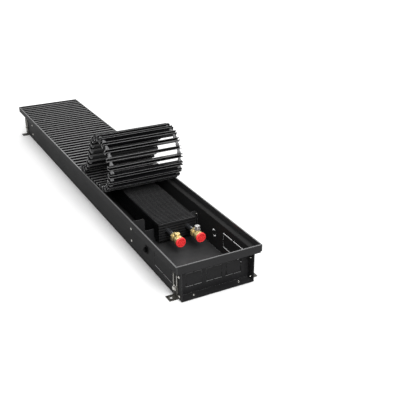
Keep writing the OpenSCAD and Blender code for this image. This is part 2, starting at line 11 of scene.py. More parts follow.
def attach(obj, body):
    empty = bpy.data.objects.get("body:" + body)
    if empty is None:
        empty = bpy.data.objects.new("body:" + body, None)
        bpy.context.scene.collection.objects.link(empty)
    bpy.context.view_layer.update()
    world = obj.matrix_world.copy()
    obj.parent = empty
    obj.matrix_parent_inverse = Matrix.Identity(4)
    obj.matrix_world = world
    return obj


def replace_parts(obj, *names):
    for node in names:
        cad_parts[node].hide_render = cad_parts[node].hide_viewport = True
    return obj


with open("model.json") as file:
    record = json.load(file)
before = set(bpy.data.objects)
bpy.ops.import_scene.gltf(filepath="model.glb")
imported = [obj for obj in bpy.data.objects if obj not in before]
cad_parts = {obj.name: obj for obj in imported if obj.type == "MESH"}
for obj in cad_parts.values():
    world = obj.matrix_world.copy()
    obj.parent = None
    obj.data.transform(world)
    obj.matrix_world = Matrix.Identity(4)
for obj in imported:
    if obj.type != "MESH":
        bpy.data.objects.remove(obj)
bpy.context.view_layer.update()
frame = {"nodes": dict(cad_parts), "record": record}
MM = 0.001
SIDES = (-1, 1)
ALONG = (1, 0, 0)
ACROSS = (0, 1, 0)
UP = (0, 0, 1)

# Camera in metres, degrees and millimetres of lens, solved from the straight edges of the heater
CAMERA_PLACE = (2.0249, -0.7396, 0.9521)
CAMERA_TILT = 65.05
CAMERA_TURN = 61.90
CAMERA_LENS = 60.44
CAMERA_SENSOR = 36

# Sizes of the casing that the pieces share with the CAD source, in millimetres
AIR = 0.3
SHEET = 1.2
WALL_Y = 107
WALL_IN = 105.8
FLOOR_TOP = 3.2
LEDGE_TOP = 92.9
END_FLANGE_X = 716.4
BRACKET_SCREW_XS = (423.5, -621.5)
BRACKET_SCREW_ZS = (27.2, 65.2)
END_SCREW_X = 730.5
END_SCREW_ZS = (12.2, 69.2)
FLOOR_SCREW_Y = 67
PLUG_X, PLUG_Z = 528, 49
FOOT_X = 710.4
FOOT_T = 2
FOOT_FACE = 109.5
ANCHOR_Y = 121.5
BOLT_Z = 29
BOLT_SEAT = 2.8
WASHER_T = 1.6

# Sizes of the heat exchanger and its valves, in millimetres
FIN_TOP = 72.2
COVER_X = 452.4
TUBE_R = 7.5
TUBE_Z = 49.4
TUBE_YS = (-6.2, 57.8)
NUT_X0, NUT_L = 494.5, 10
MOUTH_X, MOUTH_R = 538.1, 11.6
CAP_X = 540
PORT_X = 515
DRAIN_TOP = 67.9
KNOB_LOW = 72.7

# Sizes of the grille in millimetres, its bends in degrees, and the counts of its slats
SLAT_HALF = 120
SLAT_MID = 102.5
SLAT_H = 17
PITCH = 24.6
LINK_Y = 110.2
SLAT_IN_LINK = 15.3
SLAT_COUNT = 60
MOVING_COUNT = 27
FIRST_SLAT_X = (SLAT_COUNT - 1) * PITCH / 2
FOLD_X = 70.8
RAMP_A, RAMP_B = 4, 8
RAMP_A_COUNT, RAMP_COUNT = 4, 7
LOOP_COUNT = MOVING_COUNT - RAMP_COUNT
EVEN_LINKS = 12
STIFF_LINKS = (14, 15, 16)
TAIL_HEADING = 180
RISE_WANTED = SLAT_H + AIR + 0.1


def vector(x, y, z):
    """A vector in metres from millimetres."""
    return Vector((x, y, z)) * MM


# Shader nodes

def empty_tree(owner):
    """The node tree of a material or world, with nothing in it."""
    owner.use_nodes = True
    owner.node_tree.nodes.clear()
    return owner.node_tree


def add(tree, kind, inputs=None, **settings):
    """A new node, with its inputs linked or set."""
    made = tree.nodes.new("ShaderNode" + kind)
    for key, value in settings.items():
        setattr(made, key, value)
    for key, value in (inputs or {}).items():
        if isinstance(value, bpy.types.NodeSocket):
            tree.links.new(value, made.inputs[key])
        else:
            made.inputs[key].default_value = value
    return made


def spread(tree, value, span, to=(0.0, 1.0)):
    """The value mapped from one span to another, and held at the ends."""
    made = add(tree, "MapRange", {
        "Value": value, "From Min": span[0], "From Max": span[1], "To Min": to[0], "To Max": to[1]})
    return made.outputs["Result"]


def counted(tree, operation, a, b):
    return add(tree, "Math", {0: a, 1: b}, operation=operation).outputs[0]


def times(tree, a, b):
    return counted(tree, "MULTIPLY", a, b)


def dot(tree, a, b):
    return add(tree, "VectorMath", {0: a, 1: b}, operation="DOT_PRODUCT").outputs["Value"]


def unsigned(tree, value):
    return add(tree, "VectorMath", {0: value}, operation="ABSOLUTE").outputs[0]


def axis_of(tree, value, axis):
    return add(tree, "SeparateXYZ", {0: value}).outputs[axis]


def grey(tree, level):
    return add(tree, "CombineColor", {0: level, 1: level, 2: level}).outputs[0]


def blended(tree, amount, a, b, how="MIX"):
    """Two colours mixed; 6, 7 and 2 are the sockets of the Mix node that carry colours."""
    return add(tree, "Mix", {0: amount, 6: a, 7: b}, data_type="RGBA", blend_type=how).outputs[2]


def seen_ray(tree):
    """1 for the rays that see the room: from the camera, off gloss and through glass."""
    path = add(tree, "LightPath").outputs
    total = counted(tree, "MAXIMUM", path["Is Camera Ray"], path["Is Glossy Ray"])
    return counted(tree, "MAXIMUM", total, path["Is Transmission Ray"])


# Surface finishes, each with the layers of wear and of painted light and shade it asks for

# Broad patches and the specks in them: how many to a metre, and how much lighter and darker
Clouds = namedtuple("Clouds", "scale depth")
# Fine bumps: how many to a metre, how strong, and how high in mm
Grain = namedtuple("Grain", "scale strength height")
# Crystal patches of zinc: how many to a metre, and how much lighter and darker
Spangle = namedtuple("Spangle", "scale depth")
# Outer edges rubbed pale and painted as highlight lines: the radius in mm that they are rounded by, and how
# strong
WornLitEdges = namedtuple("WornLitEdges", "colour radius strength")
# Faces that look in one direction, rubbed and painted lighter as a painted highlight, to a colour
RubbedLitFace = namedtuple("RubbedLitFace", "direction colour")
# A rim beyond a distance in mm along a direction, painted pale as a highlight, which reaches full strength
# over a width
LitRim = namedtuple("LitRim", "direction start width colour")
# Sheared edges of the sheet, bare, and where they face up below a height painted pale as lit from above:
# what lies from low to high mm out along an axis, on either side, and faces along another axis, up to a
# height in mm if there is one
CutLitFaces = namedtuple("CutLitFaces", "axis low high facing colour top", defaults=[None])
# Dust on level faces, with a painted highlight round a spot: how much in general, and how much at the spot
DustAndHighlight = namedtuple("DustAndHighlight", "general at_spot")

# Place in mm of the painted highlight on the tray floor in front of the exchanger, how far in mm it fades,
# and the pale colour of dust and highlight
HIGHLIGHT_SPOT, HIGHLIGHT_REACH = (565, -10, 3), 150
DUST_AND_HIGHLIGHT_COLOUR = (0.45, 0.45, 0.46)
ROUGH_VARIATION = 0.06
COAT_ROUGH = 0.15
# Spans of the noise in the clouds, and the share of each wear and painted highlight that is left where they
# are thin
CLOUD_SPAN = (0.3, 0.7)
TONE_SPAN = (0.25, 0.75)
WORN_LIT_SPAN = (0.35, 0.65)
WORN_LIT_PATCHY = 0.5
RUBBED_LIT_PATCHY = 0.75
LIT_RIM_PATCHY = 0.7
# Spans of how nearly a face looks in a direction, where 1 is straight at it, and fades in mm
EDGE_SPAN = (0.985, 0.85)
RUBBED_LIT_SPAN = (0.8, 0.98)
CUT_SPAN = (0.8, 0.95)
LEVEL_SPAN = (0.6, 1.0)
CUT_FADE, CUT_TOP_FADE = 0.1, 1


def clouded(tree, colour, depth, cloud, fine):
    """The colour with broad clouds and fine specks in it."""
    tone = spread(tree, cloud, TONE_SPAN, (1 - depth, 1 + depth))
    speck = spread(tree, fine, CLOUD_SPAN, (1 - depth / 2, 1 + depth / 2))
    return blended(tree, 1.0, (*colour, 1), grey(tree, times(tree, tone, speck)), "MULTIPLY")


def spangled(tree, colour, spangle, place):
    """The colour with crystal patches in it."""
    cells = add(tree, "TexVoronoi", {"Vector": place, "Scale": spangle.scale}).outputs["Color"]
    patch = add(tree, "SeparateColor", {0: cells}).outputs[0]
    patch = spread(tree, patch, (0.0, 1.0), (1 - spangle.depth, 1 + spangle.depth))
    return blended(tree, 1.0, colour, grey(tree, patch), "MULTIPLY")


def worn_lit_edges(tree, colour, worn_lit, rounded, cloud):
    """The colour with its outer edges rubbed pale, partly painted highlights along them, where the rounded
    normal leaves the flat one.
    """
    flat = add(tree, "NewGeometry").outputs["Normal"]
    amount = spread(tree, dot(tree, rounded, flat), EDGE_SPAN)
    patchy = spread(tree, cloud, WORN_LIT_SPAN, (worn_lit.strength * WORN_LIT_PATCHY, worn_lit.strength))
    return blended(tree, times(tree, amount, patchy), colour, (*worn_lit.colour, 1))


def rubbed_and_lit(tree, colour, face, facing, cloud):
    """The colour with the faces that look in one direction rubbed and painted lighter, a painted highlight
    on them.
    """
    amount = spread(tree, dot(tree, facing, face.direction), RUBBED_LIT_SPAN)
    patchy = spread(tree, cloud, CLOUD_SPAN, (RUBBED_LIT_PATCHY, 1.0))
    return blended(tree, times(tree, amount, patchy), colour, (*face.colour, 1))


def lit_rimmed(tree, colour, rim, place, cloud):
    """The colour with a rim painted pale as a highlight."""
    amount = spread(tree, dot(tree, place, rim.direction), (rim.start * MM, (rim.start + rim.width) * MM))
    patchy = spread(tree, cloud, CLOUD_SPAN, (LIT_RIM_PATCHY, 1.0))
    return blended(tree, times(tree, amount, patchy), colour, (*rim.colour, 1))


def sheared_and_lit(tree, colour, cut, place, facing):
    """The colour with bare sheared edges; those picked to face up are painted pale as a highlight from
    above.
    """
    reach = dot(tree, unsigned(tree, place), cut.axis)
    band = times(tree, spread(tree, reach, ((cut.low - CUT_FADE) * MM, cut.low * MM)),
                 spread(tree, reach, (cut.high * MM, (cut.high + CUT_FADE) * MM), (1.0, 0.0)))
    band = times(tree, band, spread(tree, dot(tree, unsigned(tree, facing), cut.facing), CUT_SPAN))
    if cut.top is not None:
        below = (cut.top * MM, (cut.top + CUT_TOP_FADE) * MM)
        band = times(tree, band, spread(tree, axis_of(tree, place, 2), below, (1.0, 0.0)))
    return blended(tree, band, colour, (*cut.colour, 1))


def dusted_and_highlighted(tree, colour, dust_and_highlight, place, cloud):
    """The colour with dust on level faces, and a painted highlight on them that fades away from the spot."""
    level = axis_of(tree, add(tree, "NewGeometry").outputs["Normal"], 2)
    dust_and_highlight_share = times(tree, spread(tree, level, LEVEL_SPAN), cloud)
    away = add(tree, "VectorMath", {0: place, 1: vector(*HIGHLIGHT_SPOT)}, operation="DISTANCE").outputs["Value"]
    dust_and_highlight_share = times(tree, dust_and_highlight_share, spread(tree, away, (0.0, HIGHLIGHT_REACH * MM), (dust_and_highlight.at_spot, dust_and_highlight.general)))
    return blended(tree, dust_and_highlight_share, colour, (*DUST_AND_HIGHLIGHT_COLOUR, 1))


def finish_of(name, colour, rough, clouds, grain, metal=0.0, specular=0.5, coat=0.0, stretch=(1, 1, 1),
              spangle=None, worn_lit=None, rubbed_lit_face=None, lit_rim=None, cut_lit_faces=None, dust_and_highlight=None):
    """A material of this name; stretch below 1 draws its clouds and grain out along an axis."""
    material = bpy.data.materials.new(name)
    tree = empty_tree(material)
    own = add(tree, "TexCoord").outputs
    place, facing = own["Object"], own["Normal"]
    drawn = add(tree, "Mapping", {"Vector": place, "Scale": stretch}).outputs["Vector"]
    cloud = add(tree, "TexNoise", {"Vector": drawn, "Scale": clouds.scale, "Detail": 5.0, "Roughness": 0.6})
    cloud = cloud.outputs["Fac"]
    fine = add(tree, "TexNoise", {"Vector": drawn, "Scale": grain.scale, "Detail": 2.0}).outputs["Fac"]
    bump = {"Height": fine, "Strength": grain.strength, "Distance": grain.height * MM}
    colour = clouded(tree, colour, clouds.depth, cloud, fine)
    if spangle:
        colour = spangled(tree, colour, spangle, place)
    if worn_lit:
        rounded = add(tree, "Bevel", {"Radius": worn_lit.radius * MM}, samples=4).outputs[0]
        bump["Normal"] = rounded
        colour = worn_lit_edges(tree, colour, worn_lit, rounded, cloud)
    if rubbed_lit_face:
        colour = rubbed_and_lit(tree, colour, rubbed_lit_face, facing, cloud)
    if lit_rim:
        colour = lit_rimmed(tree, colour, lit_rim, place, cloud)
    if cut_lit_faces:
        colour = sheared_and_lit(tree, colour, cut_lit_faces, place, facing)
    if dust_and_highlight:
        colour = dusted_and_highlighted(tree, colour, dust_and_highlight, place, cloud)
    shader = add(tree, "BsdfPrincipled", {
        "Base Color": colour, "Normal": add(tree, "Bump", bump).outputs["Normal"], "Metallic": metal,
        "Roughness": spread(tree, cloud, CLOUD_SPAN, (rough - ROUGH_VARIATION, rough + ROUGH_VARIATION)),
        "Specular IOR Level": specular, "Coat Weight": coat, "Coat Roughness": COAT_ROUGH})
    add(tree, "OutputMaterial", {"Surface": shader.outputs[0]})
    return material


def dress(shown, material):
    """Gives an object one material in place of its own."""
    shown.data.materials.clear()
    shown.data.materials.append(material)


# The finish of each material slot

PALE_EDGE = (0.16, 0.16, 0.165)
# Bare sheared edges of the casing and end pieces that face up, painted pale as lit from above
RAW_LIT_CUT = (0.36, 0.36, 0.365)
RAW_LIT_END_CUT = (0.22, 0.22, 0.224)
RAW_SLAT_END = (0.4, 0.4, 0.405)
# Slat tops: rubbed, and painted lighter as a highlight from the light above them
LIT_SLAT_TOP = (0.098, 0.098, 0.099)
# Slats' leg ends: bare metal, painted pale as highlight lines
SLAT_LEG_END_BARE_SHEEN = (0.17, 0.17, 0.172)
FIN_TOP_HIGHLIGHT = (0.12, 0.12, 0.122)
CAP_RED = (1.0, 0.062, 0.064)
TURNED_X = (1, 0.02, 0.02)
TURNED_Z = (0.02, 0.02, 1)
# Heights in mm below which up-facing sheared edges get that painted highlight
LIT_CUTS_BELOW_LEDGE = 88
LIT_CUTS_BELOW_END_PANEL = 45
# Trims: their tops rubbed and painted lighter as a highlight from above
TRIM_LOOK = dict(
    colour=(0.03, 0.03, 0.031), rough=0.34, specular=0.2, clouds=Clouds(60, 0.15),
    grain=Grain(900, 0.25, 0.03), worn_lit=WornLitEdges((0.24, 0.24, 0.24), 0.3, 0.6),
    rubbed_lit_face=RubbedLitFace(UP, (0.11, 0.11, 0.112)))
SLAT_LOOK = dict(
    colour=(0.004, 0.004, 0.0045), rough=0.28, specular=0.06, clouds=Clouds(60, 0.15),
    grain=Grain(1500, 0.3, 0.03), worn_lit=WornLitEdges((0.07, 0.07, 0.072), 0.25, 0.5), stretch=(1, 0.04, 1),
    cut_lit_faces=CutLitFaces(ACROSS, low=SLAT_HALF - 0.4, high=SLAT_HALF + 1, facing=ACROSS, colour=RAW_SLAT_END))
LOOKS = {
    # This coat's dust is all the painted highlight at the spot on the tray floor
    "black_powder_coat": dict(
        colour=(0.022, 0.022, 0.0225), rough=0.52, specular=0.03, clouds=Clouds(9, 0.22),
        grain=Grain(1900, 0.45, 0.04), worn_lit=WornLitEdges(PALE_EDGE, 0.5, 0.5), dust_and_highlight=DustAndHighlight(0.0, 0.17),
        # Up-facing sheared edges below the ledge painted pale, as lit from above
        cut_lit_faces=CutLitFaces(ACROSS, low=WALL_IN - 0.1, high=WALL_Y + 0.1, facing=UP, colour=RAW_LIT_CUT,
                           top=LIT_CUTS_BELOW_LEDGE)),
    # Painted shade: the end pieces' black is darker than the casing's to offset the front lamp on their
    # faces
    "end_powder_coat": dict(
        colour=(0.0105, 0.0105, 0.011), rough=0.5, specular=0.14, clouds=Clouds(9, 0.25),
        grain=Grain(1900, 0.45, 0.04), worn_lit=WornLitEdges((0.05, 0.05, 0.052), 0.3, 0.2), dust_and_highlight=DustAndHighlight(0.02, 0.02),
        cut_lit_faces=CutLitFaces(ALONG, low=END_FLANGE_X - 0.7, high=END_FLANGE_X + 0.7, facing=UP,
                           colour=RAW_LIT_END_CUT, top=LIT_CUTS_BELOW_END_PANEL)),
    "edge_trim": dict(TRIM_LOOK, stretch=(0.05, 1, 1)),
    "damping_strip": dict(
        colour=(0.012, 0.012, 0.012), rough=0.85, specular=0.3, clouds=Clouds(120, 0.3),
        grain=Grain(2600, 0.8, 0.1)),
    "plug_rubber": dict(
        colour=(0.0015, 0.0015, 0.0017), rough=0.6, specular=0.05, clouds=Clouds(160, 0.25),
        grain=Grain(1500, 0.5, 0.06), worn_lit=WornLitEdges((0.02, 0.02, 0.02), 0.5, 0.5)),
    "zinc_screws": dict(
        colour=(0.52, 0.51, 0.48), rough=0.2, metal=0.9, clouds=Clouds(500, 0.25),
        grain=Grain(3000, 0.3, 0.02), worn_lit=WornLitEdges((0.9, 0.89, 0.86), 0.3, 0.6)),
    "bracket_powder_coat": dict(
        colour=(0.016, 0.016, 0.017), rough=0.5, specular=0.4, clouds=Clouds(25, 0.22),
        grain=Grain(1900, 0.45, 0.04), worn_lit=WornLitEdges(PALE_EDGE, 0.5, 0.75)),
    # The fins' top edges painted pale, a highlight from the lamps above
    "black_fins": dict(
        colour=(0.006, 0.006, 0.0065), rough=0.4, specular=0.2, clouds=Clouds(70, 0.3),
        grain=Grain(800, 0.3, 0.05), stretch=(1, 0.2, 1),
        lit_rim=LitRim(UP, start=FIN_TOP - 1.1, width=0.5, colour=FIN_TOP_HIGHLIGHT)),
    "fin_cover": dict(
        colour=(0.006, 0.006, 0.0065), rough=0.36, specular=0.2, clouds=Clouds(40, 0.25),
        grain=Grain(1500, 0.4, 0.04), worn_lit=WornLitEdges((0.12, 0.12, 0.122), 0.5, 0.8)),
    "water_tube": dict(
        colour=(0.026, 0.027, 0.03), rough=0.18, specular=0.9, coat=0.7, clouds=Clouds(50, 0.3),
        grain=Grain(900, 0.3, 0.04), stretch=(0.3, 1, 1)),
    "brass_fittings": dict(
        colour=(0.82, 0.65, 0.29), rough=0.27, metal=0.7, clouds=Clouds(150, 0.08),
        grain=Grain(2600, 0.35, 0.03), worn_lit=WornLitEdges((1.0, 0.86, 0.55), 0.4, 0.6), stretch=TURNED_X),
    "nickel_vent": dict(
        colour=(0.36, 0.357, 0.349), rough=0.34, metal=0.8, clouds=Clouds(150, 0.08),
        grain=Grain(2600, 0.3, 0.03), worn_lit=WornLitEdges((0.55, 0.545, 0.53), 0.3, 0.5), stretch=TURNED_Z),
    "red_caps": dict(
        colour=(1.0, 0.058, 0.06), rough=0.42, specular=0.35, clouds=Clouds(70, 0.06),
        grain=Grain(1200, 0.15, 0.03), worn_lit=WornLitEdges((1.0, 0.12, 0.12), 0.5, 0.6)),
    "zinc_feet": dict(
        colour=(0.045, 0.043, 0.038), rough=0.45, metal=0.1, specular=0.08, clouds=Clouds(90, 0.4),
        grain=Grain(1600, 0.3, 0.03), worn_lit=WornLitEdges((0.55, 0.54, 0.51), 0.35, 0.8), spangle=Spangle(160, 0.35)),
    "black_slats": dict(SLAT_LOOK, rubbed_lit_face=RubbedLitFace(UP, LIT_SLAT_TOP)),
    "grey_links": dict(
        colour=(0.14, 0.14, 0.143), rough=0.5, specular=0.3, clouds=Clouds(150, 0.12),
        grain=Grain(1400, 0.25, 0.03), worn_lit=WornLitEdges((0.35, 0.35, 0.35), 0.3, 0.5)),
}
FINISHES = {name: finish_of(name, **look) for name, look in LOOKS.items()}

# Finishes that differ from their slot's: the short trims, the relief of the caps painted darker as shade,
# the foot beads painted lighter as a highlight
CROSS_TRIM = finish_of("edge_trim_cross", stretch=(1, 0.05, 1), **TRIM_LOOK)
# Painted shade: the relief darker red than the cap's face, with only its tops at the cap's own red
SHADED_CAP_RELIEF = finish_of(
    "red_cap_relief_painted_shade", colour=(0.68, 0.026, 0.028), rough=0.34, clouds=Clouds(70, 0.06),
    grain=Grain(1200, 0.15, 0.03), lit_rim=LitRim(ALONG, start=CAP_X + 0.35, width=0.15, colour=CAP_RED))
# Painted highlight: the beads far lighter than the zinc of the feet they are pressed in
FOOT_BEAD_HIGHLIGHT = finish_of(
    "zinc_foot_bead_highlight", colour=(0.45, 0.44, 0.415), rough=0.35, metal=0.7, clouds=Clouds(200, 0.3),
    grain=Grain(1600, 0.3, 0.03))


# The bend of the folded grille, worked out as the source does it

def even_bend(low, high, steps):
    """The even bend of the loop that lifts the last slat as wanted, found by halving."""
    for _ in range(steps):
        middle = (low + high) / 2
        rise = sum(PITCH * math.sin(math.radians(heading(i, middle))) for i in range(1, MOVING_COUNT + 1))
        if rise > RISE_WANTED:
            low = middle
        else:
            high = middle
    return (low + high) / 2


def raw_heading(k, bend):
    """The heading of loop link k: even bends, then an easing stretch that ends folded over."""
    easing = LOOP_COUNT - EVEN_LINKS
    drop = (RAMP_B + bend * LOOP_COUNT - TAIL_HEADING) / (easing * (easing + 1) / 2)
    return RAMP_B + sum(bend - max(0, n - EVEN_LINKS) * drop for n in range(1, k + 1))


def heading(i, bend):
    """The heading of moving link i: up the two ramps, then round the loop."""
    if i <= RAMP_A_COUNT:
        return RAMP_A
    k = i - RAMP_COUNT
    if k <= 0:
        return RAMP_B
    return raw_heading(STIFF_LINKS[1] if k in STIFF_LINKS else k, bend)


def links_by_body():
    """The moving links that ride on each body of the grille."""
    bodies = {
        "ramp_low": range(1, RAMP_A_COUNT + 1),
        "ramp_high": range(RAMP_A_COUNT + 1, RAMP_COUNT + 1),
    }
    for k in range(1, LOOP_COUNT + 1):
        if k == STIFF_LINKS[0]:
            bodies[f"slat_{k}"] = [RAMP_COUNT + link for link in STIFF_LINKS]
        elif k not in STIFF_LINKS:
            bodies[f"slat_{k}"] = [RAMP_COUNT + k]
    return bodies


def pivot_places():
    """The x and z of each moving link's pivot at rest."""
    places = {}
    x, z = FOLD_X, SLAT_MID
    for i in range(1, MOVING_COUNT + 1):
        places[i] = (x, z)
        lean = math.radians(heading(i, BEND))
        x += PITCH * math.cos(lean)
        z += PITCH * math.sin(lean)
    return places


BEND = even_bend(low=13, high=23, steps=20)
MOVING = links_by_body()
PIVOTS = pivot_places()


# The finish of each CAD node

# How far in mm the pale band reaches up the slats' leg ends, bare metal painted pale as highlight lines, and
# its fade
LEG_BARE_SHEEN_L, LEG_BARE_SHEEN_FADE = 0.5, 0.3


def slat_finish(node):
    """The slat finish turned to the node's own heading: a top rubbed and painted lighter as a highlight, and
    the ends of its legs bare and painted pale as highlight lines.
    """
    first = MOVING[node.removesuffix("_slats")][0]
    lean = math.radians(heading(first, BEND))
    top = Vector((-math.sin(lean), 0, math.cos(lean)))
    pivot_x, pivot_z = PIVOTS[first]
    leg_ends = SLAT_H / 2 - LEG_BARE_SHEEN_L - top.x * pivot_x - top.z * pivot_z
    return finish_of(f"black_slats_{node}", rubbed_lit_face=RubbedLitFace(top, LIT_SLAT_TOP),
                     lit_rim=LitRim(-top, leg_ends, LEG_BARE_SHEEN_FADE, SLAT_LEG_END_BARE_SHEEN), **SLAT_LOOK)


for part in frame["record"]["subparts"]:
    node = part["node"]
    material = FINISHES[part["material_slot"]]
    if node in ("trim_front", "trim_rear"):
        material = CROSS_TRIM
    elif node.removesuffix("_slats") in MOVING:
        material = slat_finish(node)
    dress(frame["nodes"][node], material)


# Mesh helpers, in millimetres. An outline is a list of (height, radius) pairs along an axis.

RING_STEPS = 48
SMOOTH_ANGLE = 35


def outward(x, y, z, direction):
    """A place whose Z axis points along the direction."""
    turn = Vector(direction).to_track_quat("Z", "Y").to_matrix().to_4x4()
    return Matrix.Translation(vector(x, y, z)) @ turn


def ring_points(mesh, place, height, radius, steps, limit=None):
    """A ring of points round the place's Z axis, whose reach may be limited at each angle."""
    ring = []
    for step in range(steps):
        angle = 2 * math.pi * step / steps
        reach = min(radius, limit(angle)) if limit else radius
        ring.append(mesh.verts.new(place @ vector(reach * math.cos(angle), reach * math.sin(angle), height)))
    return ring


def join_rings(mesh, low, high):
    """A band of faces between two rings with as many points."""
    for step in range(len(low)):
        after = (step + 1) % len(low)
        mesh.faces.new((low[step], low[after], high[after], high[step]))


def lathe(mesh, place, outline, steps, limit=None):
    """A closed solid turned from an outline, with a flat face at each end."""
    rings = [ring_points(mesh, place, height, radius, steps, limit) for height, radius in outline]
    for low, high in zip(rings, rings[1:]):
        join_rings(mesh, low, high)
    mesh.faces.new(list(reversed(rings[0])))
    mesh.faces.new(rings[-1])


def closed_ring(mesh, place, outline, steps=RING_STEPS):
    """A ring turned from an outline that closes on itself."""
    rings = [ring_points(mesh, place, height, radius, steps) for height, radius in outline]
    for low, high in zip(rings, rings[1:] + rings[:1]):
        join_rings(mesh, low, high)


def raised(outline, height):
    """The outline moved along its axis."""
    return [(height + along, radius) for along, radius in outline]


def hexagon(flats):
    """The reach of a hexagon at each angle, from the distance of its flats."""
    side = math.pi / 3

    def reach(angle):
        off = (angle + side / 2) % side - side / 2
        return flats / math.cos(off)
    return reach


def knurl(count, radius, depth):
    """The reach of a knob with grooves at each angle."""
    def reach(angle):
        return radius - depth * (0.5 - 0.5 * math.cos(count * angle))
    return reach


def piece(name, mesh, body, slot, material=None):
    """Turns a finished mesh into a named piece that rides on a body."""
    bmesh.ops.recalc_face_normals(mesh, faces=mesh.faces)
    data = bpy.data.meshes.new(name)
    mesh.to_mesh(data)
    mesh.free()
    made = bpy.data.objects.new(name, data)
    bpy.context.scene.collection.objects.link(made)
    dress(made, material or FINISHES[slot])
    data.shade_smooth()
    data.set_sharp_from_angle(angle=math.radians(SMOOTH_ANGLE))
    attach(made, body)
    return made


# Link sleeves: a ribbed sleeve with a collar at the slat, and a knuckle across the pivot

SLEEVE_STEPS = 20
SLEEVE = [
    (-0.2, 3.0), (0.4, 3.85), (4.4, 3.85), (4.6, 4.1), (5.4, 4.1), (5.6, 3.85), (6.4, 3.85), (6.6, 4.1),
    (7.4, 4.1), (7.6, 3.85), (8.3, 3.85), (8.5, 4.6), (9.7, 4.6), (10.0, 4.3), (10.0, 2.6)]
KNUCKLE = [
    (-4.7, 3.0), (-4.7, 3.75), (-4.3, 4.12), (-0.5, 4.12), (-0.3, 3.95), (0.3, 3.95), (0.5, 4.12),
    (4.3, 4.12), (4.7, 3.75), (4.7, 3.0)]


def link_sleeves(mesh, x, z, angle):
    """The two sleeves of a link whose pivot is at x, z."""
    lean = Matrix.Translation(vector(x, 0, z)) @ Matrix.Rotation(-math.radians(angle), 4, "Y")
    for side in SIDES:
        lathe(mesh, lean @ outward(0, side * LINK_Y, 0, ALONG), SLEEVE, SLEEVE_STEPS)
        lathe(mesh, lean @ outward(0, side * LINK_Y, 0, ACROSS), KNUCKLE, SLEEVE_STEPS)


def moving_sleeves(body, links):
    mesh = bmesh.new()
    for i in links:
        link_sleeves(mesh, *PIVOTS[i], heading(i, BEND))
    piece(f"{body}_sleeves", mesh, body, "grey_links")


def flat_sleeves():
    mesh = bmesh.new()
    for i in range(MOVING_COUNT, SLAT_COUNT - 1):
        link_sleeves(mesh, FIRST_SLAT_X - i * PITCH - SLAT_IN_LINK, SLAT_MID, 0)
    piece("flat_sleeves", mesh, "grille", "grey_links")


# Screws with a domed head, a cross recess and a threaded shank

SCREW_STEPS = 48
SCREW_HEAD_R, SCREW_HEAD_TOP = 3.6, 2.45
DOME_RINGS, DOME_DROP = 14, 1.15
RECESS_REACH, RECESS_HALF, RECESS_DEPTH, RECESS_TAPER = 2.0, 0.42, 1.1, 2.4
THREAD_PITCH, THREAD_R, THREAD_CORE_R = 0.6, 1.88, 1.45
SCREW_NECK = [(0.02, SCREW_HEAD_R), (0.0, 3.4), (0.0, 1.9)]
SCREW_POINT, POINT_STEP, POINT_R, TIP_R = 1.6, 0.5, 1.1, 0.35
WALL_SHANK, FLOOR_SHANK = 7, 2.8


def recess(u, v):
    """Depth of the cross recess at a point of the head."""
    away = math.hypot(u, v)
    if away < RECESS_REACH and min(abs(u), abs(v)) < RECESS_HALF:
        return RECESS_DEPTH * (1 - away / RECESS_TAPER)
    return 0.0


def dome_ring(mesh, place, ring):
    """One ring of the domed head, counted from its centre."""
    away = SCREW_HEAD_R * ring / DOME_RINGS
    points = []
    for step in range(SCREW_STEPS):
        angle = 2 * math.pi * step / SCREW_STEPS
        u, v = away * math.cos(angle), away * math.sin(angle)
        height = SCREW_HEAD_TOP - DOME_DROP * (ring / DOME_RINGS) ** 3 - recess(u, v)
        points.append(mesh.verts.new(place @ vector(u, v, height)))
    return points


def shank_outline(length):
    """The outline from the rim of the head down the thread to the point."""
    outline = list(SCREW_NECK)
    depth = 0.0
    while depth > SCREW_POINT - length:
        outline += [(depth - THREAD_PITCH / 2, THREAD_CORE_R), (depth - THREAD_PITCH, THREAD_R)]
        depth -= THREAD_PITCH
    return outline + [(depth - POINT_STEP, POINT_R), (-length, TIP_R)]


def screw(mesh, place, shank):
    """A screw whose head sits on the place."""
    rings = [dome_ring(mesh, place, ring) for ring in range(1, DOME_RINGS + 1)]
    for height, radius in shank_outline(shank):
        rings.append(ring_points(mesh, place, height, radius, SCREW_STEPS))
    centre = mesh.verts.new(place @ vector(0, 0, SCREW_HEAD_TOP - RECESS_DEPTH))
    for step in range(SCREW_STEPS):
        mesh.faces.new((centre, rings[0][step], rings[0][(step + 1) % SCREW_STEPS]))
    for near, far in zip(rings, rings[1:]):
        join_rings(mesh, near, far)
    mesh.faces.new(rings[-1])


def wall_screw(mesh, x, side, z):
    screw(mesh, outward(x, side * (WALL_Y + AIR), z, (0, side, 0)), WALL_SHANK)


def bracket_screws():
    mesh = bmesh.new()
    for side in SIDES:
        for x in BRACKET_SCREW_XS:
            for z in BRACKET_SCREW_ZS:
                wall_screw(mesh, x, side, z)
    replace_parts(piece("bracket_screws", mesh, "casing", "zinc_screws"), "wall_screws")


def casing_screws():
    mesh = bmesh.new()
    for x in (-END_SCREW_X, END_SCREW_X):
        for side in SIDES:
            for z in END_SCREW_ZS:
                wall_screw(mesh, x, side, z)
            screw(mesh, outward(x, side * FLOOR_SCREW_Y, FLOOR_TOP + SHEET + 2 * AIR, UP), FLOOR_SHANK)
    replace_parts(piece("casing_screws", mesh, "casing", "zinc_screws"), "end_screws")


# Foot bolts with a chamfered hexagon head, a washer face and a thread. The outlines of the head
# start where it meets the washer, and the thread's heights are from the outside of the wall.

